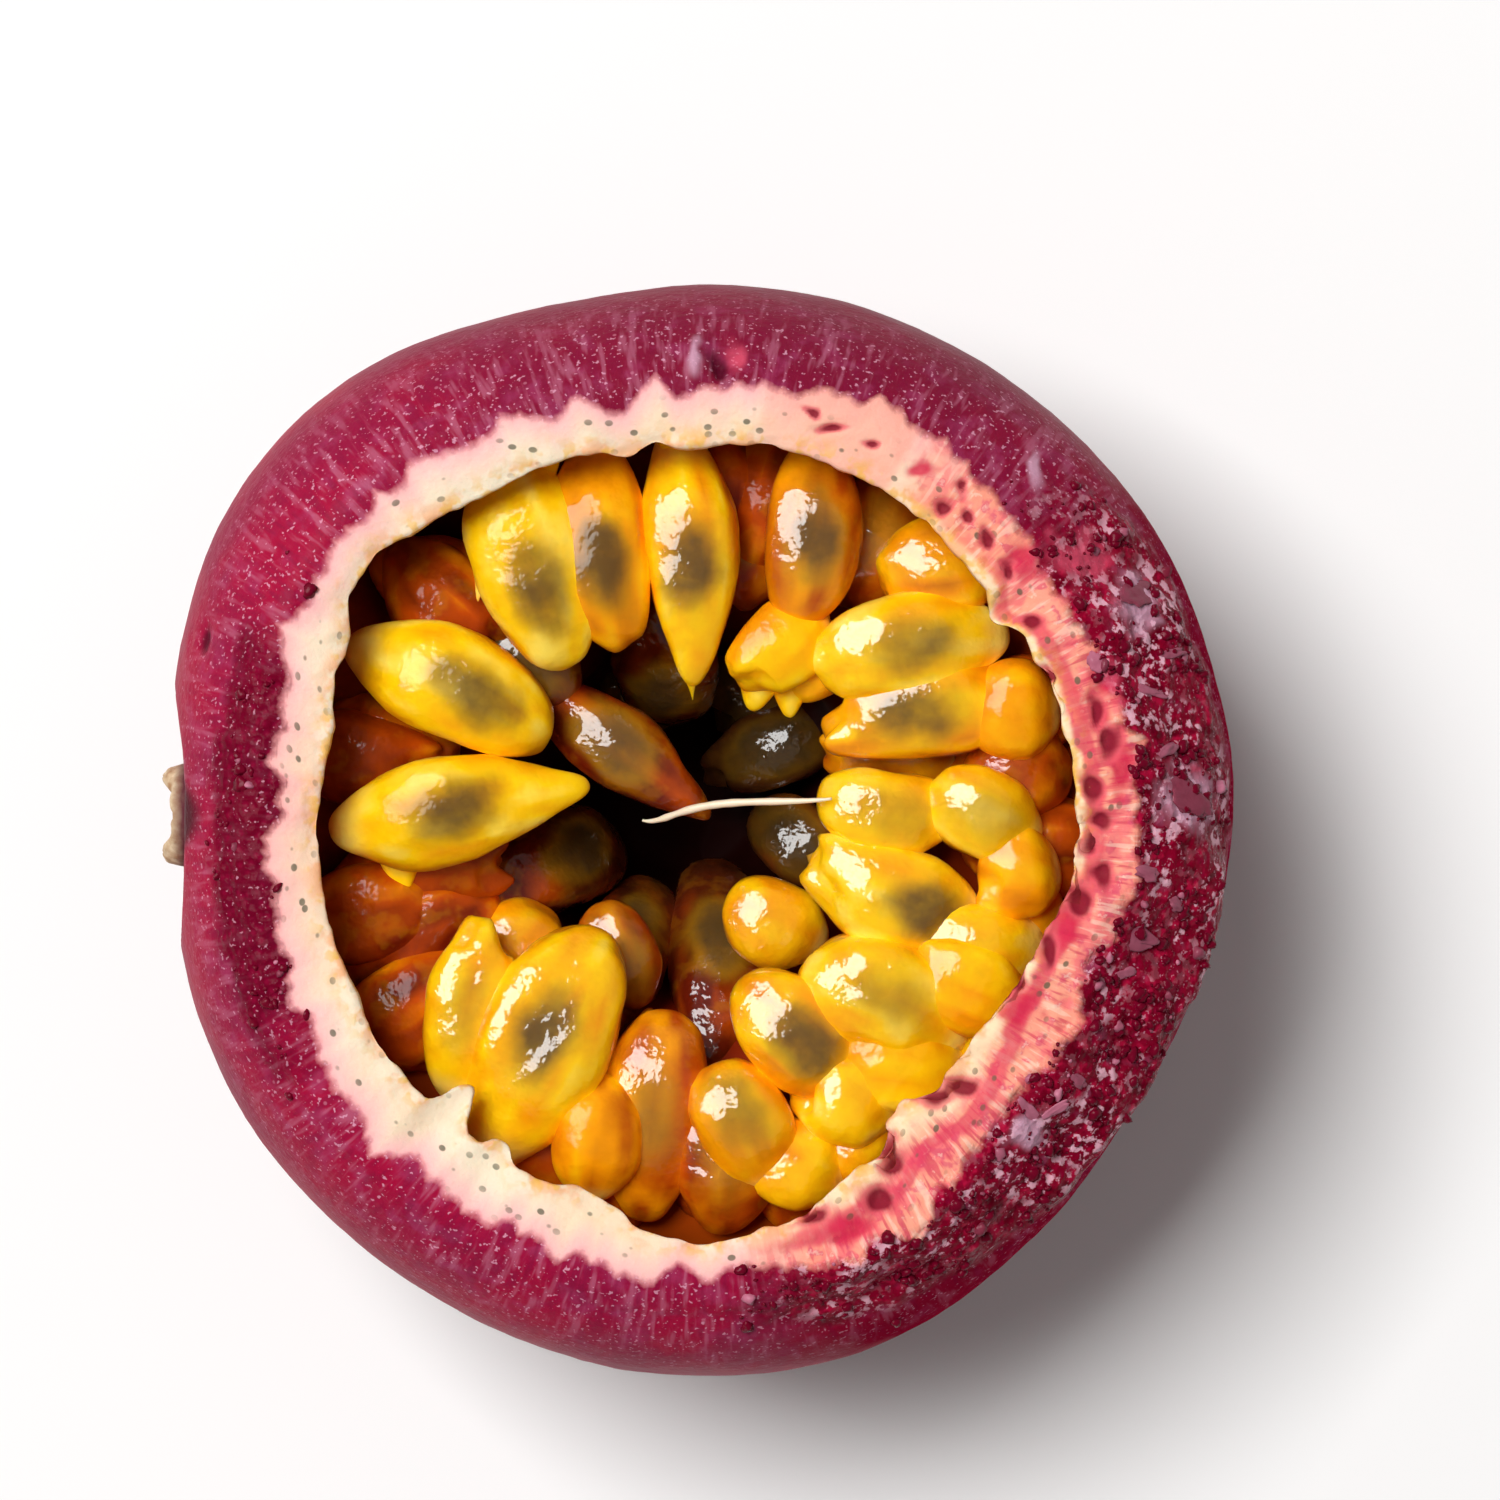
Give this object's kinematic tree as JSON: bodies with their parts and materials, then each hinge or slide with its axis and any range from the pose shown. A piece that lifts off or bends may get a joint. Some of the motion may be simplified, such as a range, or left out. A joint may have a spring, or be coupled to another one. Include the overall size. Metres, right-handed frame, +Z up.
{
  "type": "passion fruit half",
  "caption": "Half of a purple passion fruit, cut side up, with thick rind and pith round a hollow heap of yellow juice sacs.",
  "frame": {"origin": "middle of the small flat spot that the half rests on", "axes": "+Z up out of the cut face, -X towards the stalk scar, +Y across"},
  "size_m": [0.0511, 0.052, 0.0324],
  "materials": {
    "rind": "smooth waxy purple-crimson skin, with cream pith and wet maroon flesh on the cut",
    "juice_sacs": "wet translucent yellow-orange pulp over dark seeds",
    "fibre": "moist off-white plant fibre",
    "cork": "dry rough tan cork of the stalk scar"
  },
  "bodies": {
    "root": {"shell": "rind", "pulp": "juice_sacs", "fibre": "fibre", "stem_scar": "cork"}
  },
  "joints": []
}
